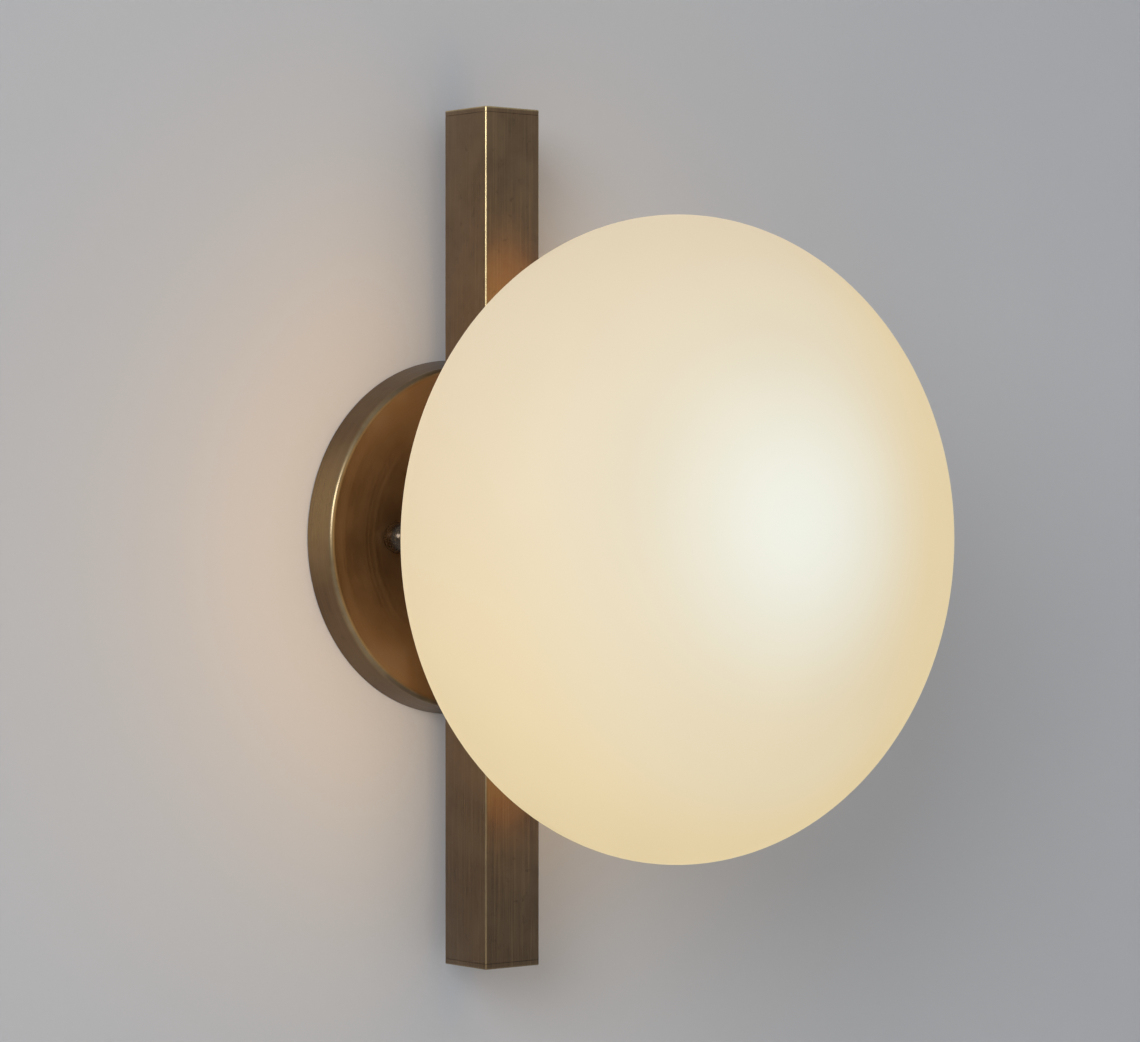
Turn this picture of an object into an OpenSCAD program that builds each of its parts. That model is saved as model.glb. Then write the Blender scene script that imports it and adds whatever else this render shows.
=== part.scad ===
// Wall sconce with one flattened opal glass shade on a square brass bar.
// The wall is the plane y = 0 and the light stands out along -Y, with +Z up.
// Depths are measured out from the wall, and the bar, canopy and shade share one centre line.

/* [Bar] */
// Length of the bar, end plugs included
bar_length = 315; // [240:5:420]
// Width of the square bar
bar_width = 25; // [22:1:32]
// Wall of the bar's tube
bar_wall = 2; // [1.2:0.2:2.6]
// Rounding of the bar's long edges
bar_edge_radius = 0.8; // [0.4:0.1:1.6]
// Thickness of the plate of each end plug
plug_plate = 2; // [1:0.5:4]
// Depth of each end plug's spigot in the tube
plug_spigot = 7; // [4:1:12]
// Distance between the two screws that hold the bar to the canopy
bar_screw_spacing = 56; // [50:1:62]

/* [Canopy] */
// Diameter of the canopy at the wall
canopy_diameter = 132; // [126:1:150]
// Depth of the canopy
canopy_depth = 11.5; // [11:0.5:16]
// Thickness of the canopy's sheet
canopy_sheet = 1.2; // [0.8:0.1:1.4]
// Outer radius of the canopy's rounded edge
canopy_edge_radius = 3.5; // [2.5:0.5:6]
// How much the canopy's side leans in
canopy_lean = 2.5; // [0.5:0.5:5]

/* [Wall plate] */
// Diameter of the wall plate
plate_diameter = 100; // [97:1:108]
// Thickness of the wall plate
plate_thickness = 2; // [1.5:0.1:2.4]
// Height of the plate's turned rim, over the plate
plate_rim = 1.6; // [1:0.2:2.4]
// Hole in the middle of the plate, for the house wires
wire_hole_diameter = 20; // [16:1:22]
// Distance between the middles of the two box screw slots
slot_spacing = 79.4; // [78.4:0.2:80.4]
// Length of each box screw slot, end to end
slot_length = 14.4; // [12:0.2:15]
// Width of each box screw slot
slot_width = 4.8; // [4.2:0.2:5.6]

/* [Studs and nuts] */
// Distance between the two studs
stud_spacing = 70; // [66:0.5:76]
// Diameter of the studs and of the bar screws
stud_diameter = 4; // [3.5:0.5:5]
// Height of a stud past the canopy's face
stud_reach = 6; // [4:0.5:7]
// Diameter of each cap nut
cap_nut_diameter = 11.5; // [10:0.5:14]
// Height of each cap nut
cap_nut_height = 8.8; // [8.4:0.2:11]
// Thickness of each stud's lock nut
stud_nut_height = 2.2; // [1.8:0.2:3]

/* [Stem] */
// Outer diameter of the threaded nipple
nipple_diameter = 10; // [9:0.5:12]
// Bore of the nipple
nipple_bore = 7; // [6:0.5:7.5]
// How far the nipple stands past its last nut or strap at each end
nipple_end = 0.6; // [0.4:0.2:1]
// Width of the stem's hexagon nuts, across their flats
stem_nut_width = 14; // [13:0.5:17]
// Thickness of the nut inside the canopy
rear_nut_height = 2.2; // [2:0.1:2.6]
// Thickness of the nut inside the cup
front_nut_height = 3; // [2.5:0.5:4]
// Thickness of the earth tag and of the front washer
washer_thickness = 0.7; // [0.5:0.1:0.9]
// Outer diameter of the sleeve inside the bar
sleeve_diameter = 16; // [15:0.5:17]
// Diameter of the standoff collar's stem
collar_diameter = 19; // [17:0.5:21]
// Diameter of the standoff collar's front flange
collar_flange_diameter = 34; // [28:1:44]
// Thickness of the standoff collar's two flanges
collar_flange = 2.5; // [1.5:0.5:4]

/* [Glass] */
// Widest diameter of the glass
glass_diameter = 225; // [200:5:250]
// Depth of the glass body, back to front
glass_depth = 132; // [124:2:150]
// Wall of the glass
glass_wall = 3; // [2.4:0.2:4]
// Distance from the bar's face to the back of the glass body
glass_standoff = 31.5; // [28:0.5:45]
// Outer diameter of the glass neck
neck_diameter = 82; // [76:1:90]
// How far the neck reaches behind the glass body
neck_reach = 12.5; // [11:0.5:16]
// Outer radius where the neck meets the body
neck_fillet = 4; // [2:0.5:6]

/* [Gallery cup] */
// Gap between the glass neck and the cup's wall
cup_gap = 1.8; // [1:0.2:3]
// Thickness of the cup's wall
cup_sheet = 1.2; // [1:0.1:1.6]
// Thickness of the cup's floor
cup_floor_thickness = 1.5; // [1:0.1:2.5]
// Outer radius of the cup's rounded edge
cup_edge_radius = 3; // [2:0.5:3.5]
// Gap between the cup's rim and the glass body, along the depth
cup_rim_gap = 4; // [3:0.5:6]
// Radius of the rolled bead on the cup's rim
cup_bead_radius = 1.2; // [0.8:0.1:1.6]
// Thickness of the gasket under the glass neck
gasket_thickness = 2; // [1:0.5:3]
// Length of each thumbscrew's head
thumb_head_length = 5.5; // [4:0.5:7]
// Diameter of each thumbscrew's head
thumb_head_diameter = 9; // [8:0.5:10]
// Length of each threaded boss outside the cup's wall
boss_length = 3; // [2:0.5:4]
// Diameter of each threaded boss
boss_diameter = 8; // [7:0.5:9]

/* [Lampholder] */
// Thickness of the strap that carries the lampholder
strap_thickness = 1.5; // [1:0.1:2]
// Outer diameter of the lampholder's foot
holder_foot_diameter = 42; // [40:1:48]
// Height of the lampholder's foot
holder_foot_height = 15; // [12:1:18]
// Outer diameter of the lampholder's barrel
holder_barrel_diameter = 36; // [34:0.5:39]
// Depth of the wiring room under the lampholder
wiring_room = 7; // [6.5:0.5:8]
// Diameter of the wiring room
wiring_room_diameter = 27; // [26:0.5:28]
// Thickness of the web between the wiring room and the screw shell
holder_web = 2.5; // [2:0.5:4]
// Distance between the lampholder's two fixing screws
holder_screw_spacing = 34; // [33:0.5:34.5]
// Diameter of the lampholder's fixing screws
holder_screw_diameter = 3; // [2.5:0.5:3.5]

/* [Lamp] */
// Full length of the lamp
lamp_length = 108; // [98:1:112]
// Diameter of the lamp's globe
globe_diameter = 60; // [50:1:64]
// Wall of the lamp's globe
globe_wall = 1.2; // [0.8:0.1:2]
// Diameter over the threads of the lamp's screw cap
cap_thread_diameter = 26; // [25:0.1:26.4]
// Pitch of the screw cap's rolled thread
thread_pitch = 3.6; // [3:0.1:4]
// Depth of the rolled thread
thread_depth = 0.8; // [0.5:0.1:1]
// Length of the lamp's threaded cap
cap_length = 21; // [18:1:24]

/* [Wiring] */
// Diameter of the wires
wire_diameter = 1.8; // [1.4:0.1:2]
// Length of each twist-on connector
wire_nut_length = 17; // [14:1:18]
// Diameter of each twist-on connector at its mouth
wire_nut_diameter = 7.2; // [6.6:0.1:7.4]

/* [Hidden] */
$fn = 64;

// Gap that a screw needs to turn in its thread, gap that two loose pieces need, and overlap of a cut
running = 0.05;
loose = 0.3;
cut = 1;

// Depths, counted out from the wall
canopy_inside = canopy_depth - canopy_sheet;
bar_middle = canopy_depth + bar_width / 2;
bar_face = canopy_depth + bar_width;
glass_back = bar_face + glass_standoff;
glass_middle = glass_back + glass_depth / 2;
neck_end = glass_back - neck_reach;
glass_steps = 18;
cup_floor = neck_end - gasket_thickness;
cup_back = cup_floor - cup_floor_thickness;
front_nut_back = cup_floor + washer_thickness;
strap_back = front_nut_back + front_nut_height;
holder_back = strap_back + strap_thickness;
nipple_front = holder_back + nipple_end;
rear_nut_front = canopy_inside - washer_thickness;
rear_nut_back = rear_nut_front - rear_nut_height;
nipple_back = rear_nut_back - nipple_end;
web_back = holder_back + wiring_room;
web_front = web_back + holder_web;

// Radii of the fitter
neck_r = neck_diameter / 2;
cup_inner_r = neck_r + cup_gap;
cup_r = cup_inner_r + cup_sheet;
cup_rim = glass_middle - glass_depth / 2 * sqrt(1 - pow(2 * cup_r / glass_diameter, 2)) - cup_rim_gap;
thumb_depth = (neck_end + cup_rim - cup_bead_radius) / 2;
thumb_tip = neck_r + loose;
boss_end = cup_r + boss_length;
thumb_angles = [90, 210, 330];

// The canopy's side touches its rounded edge where the two run the same way
canopy_r = canopy_diameter / 2;
edge_centre_r = canopy_r - canopy_lean - canopy_edge_radius;
edge_centre_depth = canopy_depth - canopy_edge_radius;
edge_lean = atan2(canopy_r - edge_centre_r, edge_centre_depth)
    - asin(canopy_edge_radius / norm([canopy_r - edge_centre_r, edge_centre_depth]));

// Screws through the canopy's sheet into the bar, and their heads
bar_screw_head_height = 2;
bar_screw_head_r = stud_diameter * 0.85;
bar_screw_end = canopy_depth + bar_wall + 1;

// The lamp's pieces, counted from the tip of its contact
contact_height = 1.6;
contact_r = 4.6;
insulator_height = 3.6;
insulator_r = cap_thread_diameter / 2 - 2.2;
first_crest = contact_height + insulator_height + 1;
housing_start = contact_height + insulator_height + cap_length;
housing_neck_r = cap_thread_diameter / 2 + 1.2;
globe_r = globe_diameter / 2;
globe_centre = lamp_length - globe_r;
// The housing's cone runs on into the globe
cone_reach = norm([housing_neck_r, globe_centre - housing_start - contact_height]);
cone_lean = asin(globe_r / cone_reach) - atan2(housing_neck_r, globe_centre - housing_start - contact_height);
globe_cut = -globe_r * sin(cone_lean);
globe_cut_r = globe_r * cos(cone_lean);

// The screw shell of the lampholder, around the lamp's cap
shell_sheet = 0.5;
shell_r = cap_thread_diameter / 2 + loose;
shell_bore_r = shell_r + shell_sheet + loose / 2;
contact_disc = 2;
lamp_back = web_front + contact_disc;
shell_length = contact_height + insulator_height + cap_length - 2;
shell_front = lamp_back + shell_length;
holder_front = shell_front + 1.5;

// Terminals in the lampholder's wiring room
terminal_x = wiring_room_diameter / 2 - 4;
terminal_size = 6;
terminal_plate = 1;
terminal_screw_r = 2.4;
lead_front = (nipple_front + web_back - terminal_plate) / 2 + 0.4;
lead_offset = nipple_bore / 2 - wire_diameter / 2 - 0.9;
wire_bend = wire_diameter * 1.5;

// The rear of the leads and the connectors that lie on the wall plate
wire_nut_depth = plate_thickness + wire_nut_diameter / 2 + loose;
wire_nut_mouth = [13, 14];
wire_nut_hole = 8;
wire_nut_wall = 0.9;
lead_rear = nipple_back - wire_bend * 0.95;
tag_reach = 13;
ground_place = 31;
ground_head_gap = wire_diameter + 0.2;
ground_head_height = 1.8;
ground_head_r = 4;

brass_finish = [0.36, 0.27, 0.19];
steel_finish = [0.72, 0.73, 0.74];
yellow_brass = [0.78, 0.62, 0.3];

// Turns a shape that is drawn upright so that it stands out from the wall
module from_wall() rotate([90, 0, 0]) children();

// A round bar or hole of one radius between two depths
module round_at(r, back, front) translate([0, 0, back]) cylinder(r = r, h = front - back);

// A round washer or collar between two depths
module ring_at(r_out, r_in, back, front) {
    difference() {
        round_at(r_out, back, front);
        round_at(r_in, back - cut, front + cut);
    }
}

// A hexagon nut between two depths, drilled through
module hex_nut(width, hole_r, back, front) {
    difference() {
        translate([0, 0, back]) cylinder(d = width / cos(30), h = front - back, $fn = 6);
        round_at(hole_r, back - cut, front + cut);
    }
}

// A square with rounded corners, centred
module rounded_square(width, r) {
    square([width, width - 2 * r], center = true);
    square([width - 2 * r, width], center = true);
    for (x = [-1, 1], y = [-1, 1])
        translate([x * (width / 2 - r), y * (width / 2 - r)]) circle(r = r);
}

// Places something on both studs
module at_studs() for (x = [-1, 1]) translate([x * stud_spacing / 2, 0, 0]) children();

// Places something on both bar screws
module at_bar_screws() for (y = [-1, 1]) translate([0, y * bar_screw_spacing / 2, 0]) children();

// Places something drawn along +Z on the radius of a thumbscrew
module at_thumb(angle) translate([0, 0, thumb_depth]) rotate([0, 90, angle]) children();

// Outline of the canopy from the axis out, drawn in by a distance from its outer face
module canopy_outline(inset) {
    r = canopy_edge_radius - inset;
    foot = canopy_r - inset / cos(edge_lean);
    touch = [edge_centre_r + r * cos(edge_lean), edge_centre_depth + r * sin(edge_lean)];
    below = cut * (inset > 0 ? 1 : 0);
    polygon([
        [0, -below], [foot + below * tan(edge_lean), -below], touch,
        [edge_centre_r, edge_centre_depth], [edge_centre_r, edge_centre_depth + r], [0, edge_centre_depth + r]
    ]);
    translate([edge_centre_r, edge_centre_depth]) circle(r = r);
}

// A rolled thread's outline from one height to another, with a crest of the stated radius at the height crest_at
function rolled_thread(crest_r, back, front, crest_at) = [
    for (i = [0 : floor((front - back) / thread_pitch * 8)])
        let (h = back + i * thread_pitch / 8)
        [crest_r - thread_depth / 2 * (1 - cos((h - crest_at) / thread_pitch * 360)), h]
];

// Profile of a flattened glass body from its front pole back, run into a straight neck by an arc
function oval_point(a, c, t) = [a * cos(t), c * sin(t)];
function oval_normal(a, c, t) =
    let (n = [cos(t) / a, sin(t) / c])
    n / norm(n);
function arc_centre(a, c, fillet, t) = oval_point(a, c, t) + fillet * oval_normal(a, c, t);
function meeting_angle(a, c, neck, fillet, low, high, tries) =
    let (mid = (low + high) / 2)
    tries == 0 ? mid
    : arc_centre(a, c, fillet, mid)[0] > neck + fillet
        ? meeting_angle(a, c, neck, fillet, low, mid, tries - 1)
        : meeting_angle(a, c, neck, fillet, mid, high, tries - 1);
function glass_line(a, c, neck, fillet, steps) =
    let (
        last = meeting_angle(a, c, neck, fillet, -90, 0, 40),
        centre = arc_centre(a, c, fillet, last),
        lean = oval_normal(a, c, last),
        turn = atan2(-lean[1], -lean[0])
    )
    concat(
        [for (i = [0 : steps]) oval_point(a, c, 90 + (last - 90) * i / steps)],
        [for (i = [1 : 5]) centre + fillet * [cos(turn + (180 - turn) * i / 5), sin(turn + (180 - turn) * i / 5)]]
    );
function backwards(points) = [for (i = [len(points) - 1 : -1 : 0]) points[i]];

// A wire's route: straight stretches between corners, each corner rounded to the stated radius
function unit(v) = v / norm(v);
function corner_arc(a, b, c, r) =
    let (
        u = unit(b - a),
        v = unit(c - b),
        turn = acos(max(-1, min(1, u * v))),
        start = b - u * r * tan(turn / 2),
        n = unit(v - (u * v) * u)
    )
    [for (i = [0 : 4]) start + r * n + r * (sin(turn * i / 4) * u - cos(turn * i / 4) * n)];
function rounded_route(p, r) = concat(
    [p[0]],
    [for (i = [1 : len(p) - 2]) each corner_arc(p[i - 1], p[i], p[i + 1], r)],
    [p[len(p) - 1]]
);

// A round wire swept along a route, its rings carried from point to point without twisting
module wire(corners, r, bend, sides = 8) {
    p = rounded_route(corners, bend);
    n = len(p);
    tangents = [for (i = [0 : n - 1]) unit(p[min(i + 1, n - 1)] - p[max(i - 1, 0)])];
    first = unit(cross(tangents[0], [0.3, 0.5, 0.8]));
    sideways = [
        for (i = 0, s = first; i < n; i = i + 1, s = i < n ? unit(s - (s * tangents[i]) * tangents[i]) : s) s
    ];
    rings = [
        for (i = [0 : n - 1], k = [0 : sides - 1])
            let (s = unit(sideways[i] - (sideways[i] * tangents[i]) * tangents[i]), w = cross(tangents[i], s))
            p[i] + r * (cos(360 * k / sides) * s + sin(360 * k / sides) * w)
    ];
    walls = [
        for (i = [0 : n - 2], k = [0 : sides - 1])
            let (a = i * sides + k, b = i * sides + (k + 1) % sides)
            each [[a, b + sides, b], [a, a + sides, b + sides]]
    ];
    polyhedron(
        points = rings,
        faces = concat(
            walls,
            [[for (k = [0 : sides - 1]) k]],
            [[for (k = [sides - 1 : -1 : 0]) (n - 1) * sides + k]]
        )
    );
}

// Steel plate that screws to the wall box, with a turned rim
module wall_plate() {
    plate_r = plate_diameter / 2;
    slot_r = slot_width / 2;
    color(steel_finish) from_wall() difference() {
        union() {
            round_at(plate_r, 0, plate_thickness);
            ring_at(plate_r, plate_r - plate_thickness * 0.8, 0, plate_thickness + plate_rim);
        }
        round_at(wire_hole_diameter / 2, -cut, plate_thickness + cut);
        at_studs() round_at(stud_diameter / 2, -cut, plate_thickness + cut);
        rotate(-45) translate([ground_place, 0, 0]) round_at(stud_diameter / 2, -cut, plate_thickness + cut);
        for (y = [-1, 1]) translate([0, y * slot_spacing / 2, 0]) {
            translate([-slot_r, slot_r - slot_length / 2, -cut])
                cube([slot_width, slot_length - slot_width, plate_thickness + 2 * cut]);
            for (e = [-1, 1])
                translate([0, e * (slot_length / 2 - slot_r), 0]) round_at(slot_r, -cut, plate_thickness + cut);
        }
    }
}

// Green screw for the earth wire, in the plate's tapped hole
module ground_screw() {
    head_back = plate_thickness + ground_head_gap;
    color([0.15, 0.45, 0.22]) from_wall() rotate(-45) translate([ground_place, 0, 0]) difference() {
        union() {
            round_at(stud_diameter / 2, 0.2, head_back + cut / 2);
            round_at(ground_head_r, head_back, head_back + ground_head_height);
        }
        translate([-ground_head_r - cut, -0.5, head_back + ground_head_height - 0.9])
            cube([2 * ground_head_r + 2 * cut, 1, 2]);
    }
}

// Two studs in the plate, which pass through the canopy into the cap nuts
module mounting_studs() {
    color(steel_finish) from_wall() at_studs() round_at(stud_diameter / 2, 0, canopy_depth + stud_reach);
}

// Lock nuts that hold the studs in the plate
module stud_nuts() {
    color(steel_finish) from_wall() at_studs()
        hex_nut(stud_diameter * 1.75, stud_diameter / 2, plate_thickness, plate_thickness + stud_nut_height);
}

// Spun brass cover over the wall plate
module canopy() {
    color(brass_finish) from_wall() difference() {
        rotate_extrude() intersection() {
            canopy_outline(0);
            square([canopy_r, canopy_depth]);
        }
        rotate_extrude() intersection() {
            canopy_outline(canopy_sheet);
            translate([0, -cut]) square([canopy_r, canopy_depth]);
        }
        round_at(nipple_diameter / 2 + loose / 2, -cut, canopy_depth + cut);
        at_studs() round_at(stud_diameter / 2 + loose, -cut, canopy_depth + cut);
        at_bar_screws() round_at(stud_diameter / 2 + loose / 2, -cut, canopy_depth + cut);
    }
}

// Domed nut with a blind threaded hole, on one of the studs
module cap_nut(side) {
    r = cap_nut_diameter / 2;
    skirt = cap_nut_height * 0.36;
    collar = cap_nut_height * 0.12;
    dome = cap_nut_height - skirt;
    sphere_r = (r * r + dome * dome) / (2 * dome);
    color(brass_finish) from_wall() translate([side * stud_spacing / 2, 0, canopy_depth]) difference() {
        union() {
            round_at(r, collar, skirt);
            round_at(r * 0.92, 0, collar + cut / 4);
            intersection() {
                translate([0, 0, cap_nut_height - sphere_r]) sphere(r = sphere_r);
                round_at(r, skirt - cut / 4, cap_nut_height + cut);
            }
        }
        round_at(stud_diameter / 2 + running, -cut, stud_reach + 0.6);
    }
}

module cap_nut_left() cap_nut(-1);
module cap_nut_right() cap_nut(1);

// Square brass tube, drilled for the stem and for the two screws behind it
module bar_tube() {
    tube = bar_length - 2 * plug_plate;
    color(brass_finish) difference() {
        translate([0, -bar_middle, -tube / 2]) linear_extrude(tube) difference() {
            rounded_square(bar_width, bar_edge_radius);
            square(bar_width - 2 * bar_wall, center = true);
        }
        from_wall() {
            round_at(nipple_diameter / 2 + loose / 2, canopy_depth - cut, bar_face + cut);
            at_bar_screws() round_at(stud_diameter / 2, canopy_depth - cut, canopy_depth + bar_wall + cut);
        }
    }
}

// Plug that closes one end of the bar
module bar_plug(side) {
    spigot_width = bar_width - 2 * bar_wall - loose / 2;
    color(brass_finish) translate([0, -bar_middle, side * (bar_length / 2 - plug_plate)])
        mirror([0, 0, side > 0 ? 0 : 1]) {
            linear_extrude(plug_plate) rounded_square(bar_width, bar_edge_radius);
            translate([0, 0, -plug_spigot])
                linear_extrude(plug_spigot + cut / 2) square(spigot_width, center = true);
        }
}

module bar_cap_top() bar_plug(1);
module bar_cap_bottom() bar_plug(-1);

// Spacer in the bar that takes the clamping force of the stem's nuts
module bar_sleeve() {
    color(steel_finish) from_wall()
        ring_at(sleeve_diameter / 2, nipple_diameter / 2 + loose / 2, canopy_depth + bar_wall, bar_face - bar_wall);
}

// Two screws from inside the canopy that stop the bar from turning
module bar_screws() {
    color(steel_finish) from_wall() at_bar_screws() difference() {
        union() {
            round_at(stud_diameter / 2, canopy_inside - cut / 2, bar_screw_end);
            round_at(bar_screw_head_r, canopy_inside - bar_screw_head_height, canopy_inside);
        }
        for (a = [0, 90]) rotate(a)
            translate([-bar_screw_head_r * 0.6, -0.5, canopy_inside - bar_screw_head_height - cut])
                cube([bar_screw_head_r * 1.2, 1, cut + 1.1]);
    }
}

// Hollow threaded stem that clamps everything together and carries the wires
module threaded_nipple() {
    color(steel_finish) from_wall() ring_at(nipple_diameter / 2, nipple_bore / 2, nipple_back, nipple_front);
}

// Nut on the stem inside the canopy
module rear_nut() {
    color(yellow_brass) from_wall() hex_nut(stem_nut_width, nipple_diameter / 2, rear_nut_back, rear_nut_front);
}

// Tag under the rear nut that the earth wire is soldered to
module earth_tag() {
    tab = 5.5;
    color(yellow_brass) from_wall() difference() {
        union() {
            round_at(stem_nut_width / 2 + 0.6, rear_nut_front, canopy_inside);
            rotate(-45) {
                translate([0, -tab / 2, rear_nut_front]) cube([tag_reach, tab, washer_thickness]);
                translate([tag_reach, 0, 0]) round_at(tab / 2, rear_nut_front, canopy_inside);
            }
        }
        round_at(nipple_diameter / 2, rear_nut_front - cut, canopy_inside + cut);
    }
}

// Turned brass spacer between the bar and the cup
module standoff_collar() {
    stem_r = collar_diameter / 2;
    foot_r = bar_width / 2 - bar_edge_radius;
    flange_r = collar_flange_diameter / 2;
    cove = 2;
    color(brass_finish) from_wall() difference() {
        union() {
            round_at(foot_r, bar_face, bar_face + collar_flange);
            round_at(stem_r, bar_face, cup_back);
            translate([0, 0, cup_back - collar_flange - cove])
                cylinder(r1 = stem_r, r2 = stem_r + cove, h = cove);
            round_at(flange_r, cup_back - collar_flange, cup_back);
        }
        round_at(nipple_diameter / 2 + loose / 2, bar_face - cut, cup_back + cut);
    }
}

// Washer under the nut in the cup
module front_washer() {
    color(steel_finish) from_wall()
        ring_at(stem_nut_width / 2 + 2, nipple_diameter / 2 + loose / 2, cup_floor, front_nut_back);
}

// Nut on the stem inside the cup
module front_nut() {
    color(yellow_brass) from_wall() hex_nut(stem_nut_width, nipple_diameter / 2, front_nut_back, strap_back);
}

// Outline of the cup from the axis out, as a filled shape from its back to past its rim
module cup_outline(r, back, edge, front) {
    translate([0, back + edge]) square([r, front - back - edge]);
    translate([0, back]) square([r - edge, edge + cut / 2]);
    translate([r - edge, back + edge]) circle(r = edge);
}

// Spun cup that takes the glass neck, with three threaded bosses
module gallery_cup() {
    color(brass_finish) from_wall() difference() {
        union() {
            rotate_extrude() difference() {
                cup_outline(cup_r, cup_back, cup_edge_radius, cup_rim);
                cup_outline(cup_inner_r, cup_floor, cup_edge_radius - cup_sheet, cup_rim + cut);
            }
            rotate_extrude() translate([cup_r, cup_rim]) circle(r = cup_bead_radius);
            for (a = thumb_angles) at_thumb(a)
                round_at(boss_diameter / 2, cup_inner_r + cup_sheet / 2, boss_end);
        }
        round_at(cup_inner_r, cup_rim - cup_bead_radius, cup_rim + 2 * cup_bead_radius);
        round_at(nipple_diameter / 2 + loose / 2, cup_back - cut, cup_floor + cut);
        for (a = thumb_angles) at_thumb(a)
            round_at(stud_diameter / 2 + running, cup_inner_r - cut, boss_end + cut);
    }
}

// Ring that the end of the glass neck sits on
module neck_gasket() {
    color([0.85, 0.85, 0.82]) from_wall()
        ring_at(min(neck_r, cup_inner_r - cup_edge_radius + cup_sheet), neck_r - glass_wall - 1, cup_floor, neck_end);
}

// Screw that grips the glass neck through one boss of the cup
module thumbscrew(angle) {
    head_start = boss_end + loose;
    shoulder = 1;
    chamfer = 0.7;
    head_r = thumb_head_diameter / 2;
    head_end = head_start + shoulder + thumb_head_length;
    color(brass_finish) from_wall() at_thumb(angle) {
        round_at(stud_diameter / 2, thumb_tip, head_start + cut / 2);
        round_at(head_r * 0.7, head_start, head_start + shoulder + cut / 2);
        round_at(head_r, head_start + shoulder, head_end - chamfer);
        translate([0, 0, head_end - chamfer]) cylinder(r1 = head_r, r2 = head_r - chamfer, h = chamfer);
    }
}

module thumbscrew_top() thumbscrew(thumb_angles[0]);
module thumbscrew_left() thumbscrew(thumb_angles[1]);
module thumbscrew_right() thumbscrew(thumb_angles[2]);

// Blown opal glass: a flattened ball with a straight neck at its back
module glass_shade() {
    a = glass_diameter / 2;
    c = glass_depth / 2;
    outside = glass_line(a, c, neck_r, neck_fillet, glass_steps);
    inside = glass_line(a - glass_wall, c - glass_wall, neck_r - glass_wall, neck_fillet + glass_wall, glass_steps);
    color([1, 0.95, 0.85]) from_wall() translate([0, 0, glass_middle]) rotate_extrude() polygon(concat(
        outside,
        [[neck_r, neck_end - glass_middle], [neck_r - glass_wall, neck_end - glass_middle]],
        backwards(inside)
    ));
}

// Steel strap on the stem that carries the lampholder
module holder_strap() {
    ear = holder_screw_diameter + 0.5;
    color(steel_finish) from_wall() difference() {
        union() {
            translate([-ear, -holder_screw_spacing / 2, strap_back])
                cube([2 * ear, holder_screw_spacing, strap_thickness]);
            for (y = [-1, 1]) translate([0, y * holder_screw_spacing / 2, 0]) round_at(ear, strap_back, holder_back);
            round_at(nipple_diameter / 2 + 3.5, strap_back, holder_back);
        }
        round_at(nipple_diameter / 2, strap_back - cut, holder_back + cut);
        for (y = [-1, 1]) translate([0, y * holder_screw_spacing / 2, 0])
            round_at(holder_screw_diameter / 2, strap_back - cut, holder_back + cut);
    }
}

// Two screws from behind the strap into the lampholder's foot
module holder_screws() {
    head = 1.6;
    length = 8;
    color(steel_finish) from_wall() for (y = [-1, 1]) translate([0, y * holder_screw_spacing / 2, 0]) {
        round_at(holder_screw_diameter / 2, strap_back - head, holder_back + length);
        round_at(holder_screw_diameter * 0.95, strap_back - head, strap_back);
    }
}

// Glazed ceramic body of the lampholder
module holder_body() {
    foot_r = holder_foot_diameter / 2;
    barrel_r = holder_barrel_diameter / 2;
    shoulder = foot_r - barrel_r;
    foot_front = holder_back + holder_foot_height;
    color([0.93, 0.92, 0.88]) from_wall() difference() {
        union() {
            round_at(foot_r, holder_back, foot_front);
            translate([0, 0, foot_front]) cylinder(r1 = foot_r, r2 = barrel_r, h = shoulder);
            round_at(barrel_r, foot_front, holder_front);
        }
        round_at(wiring_room_diameter / 2, holder_back - cut, web_back);
        round_at(shell_bore_r, web_front, holder_front + cut);
        round_at(1.6, web_back - cut, web_front + cut);
        for (y = [-1, 1]) translate([0, y * holder_screw_spacing / 2, 0])
            round_at(holder_screw_diameter / 2, holder_back - cut, holder_back + 9);
    }
}

// Brass screw shell, rolled to the lamp's thread, with a flat floor that sits on the web
module holder_shell() {
    floor_hole = 8.5;
    thread = rolled_thread(shell_r, web_front + shell_sheet, shell_front, lamp_back + first_crest);
    top = thread[len(thread) - 1];
    color(yellow_brass) from_wall() rotate_extrude() polygon(concat(
        [[floor_hole, web_front], [shell_r + shell_sheet, web_front]],
        [for (p = thread) p + [shell_sheet, 0]],
        [[shell_r + shell_sheet, top[1] + 0.4], [shell_r, top[1] + 0.4]],
        backwards(thread),
        [[floor_hole, web_front + shell_sheet]]
    ));
}

// Middle contact of the lampholder: a rivet through the web with a disc that the lamp presses on
module holder_contact() {
    color(yellow_brass) from_wall() {
        round_at(1.5, web_back - 0.8, web_front + 0.4);
        round_at(2.6, web_back - 0.8, web_back);
        round_at(4.5, web_front, lamp_back);
    }
}

// Two brass terminals on the floor of the wiring room, each with its binding screw
module holder_terminals() {
    color(yellow_brass) from_wall() for (x = [-1, 1]) translate([x * terminal_x, 0, 0]) {
        translate([-terminal_size / 2, -terminal_size / 2, web_back - terminal_plate])
            cube([terminal_size, terminal_size, terminal_plate]);
        translate([-terminal_size / 2, -terminal_size / 2, lead_front - wire_diameter])
            cube([1, terminal_size, web_back - lead_front + wire_diameter]);
        round_at(terminal_screw_r, lead_front - wire_diameter / 2, web_back - terminal_plate / 2);
    }
}

// Places a piece of the lamp, whose depths count from the tip of its contact
module on_lamp() from_wall() translate([0, 0, lamp_back]) children();

// Tip contact of the lamp
module bulb_contact() {
    color(steel_finish) on_lamp() {
        cylinder(r1 = contact_r - 1, r2 = contact_r, h = contact_height / 2);
        round_at(contact_r, contact_height / 2, contact_height);
    }
}

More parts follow.
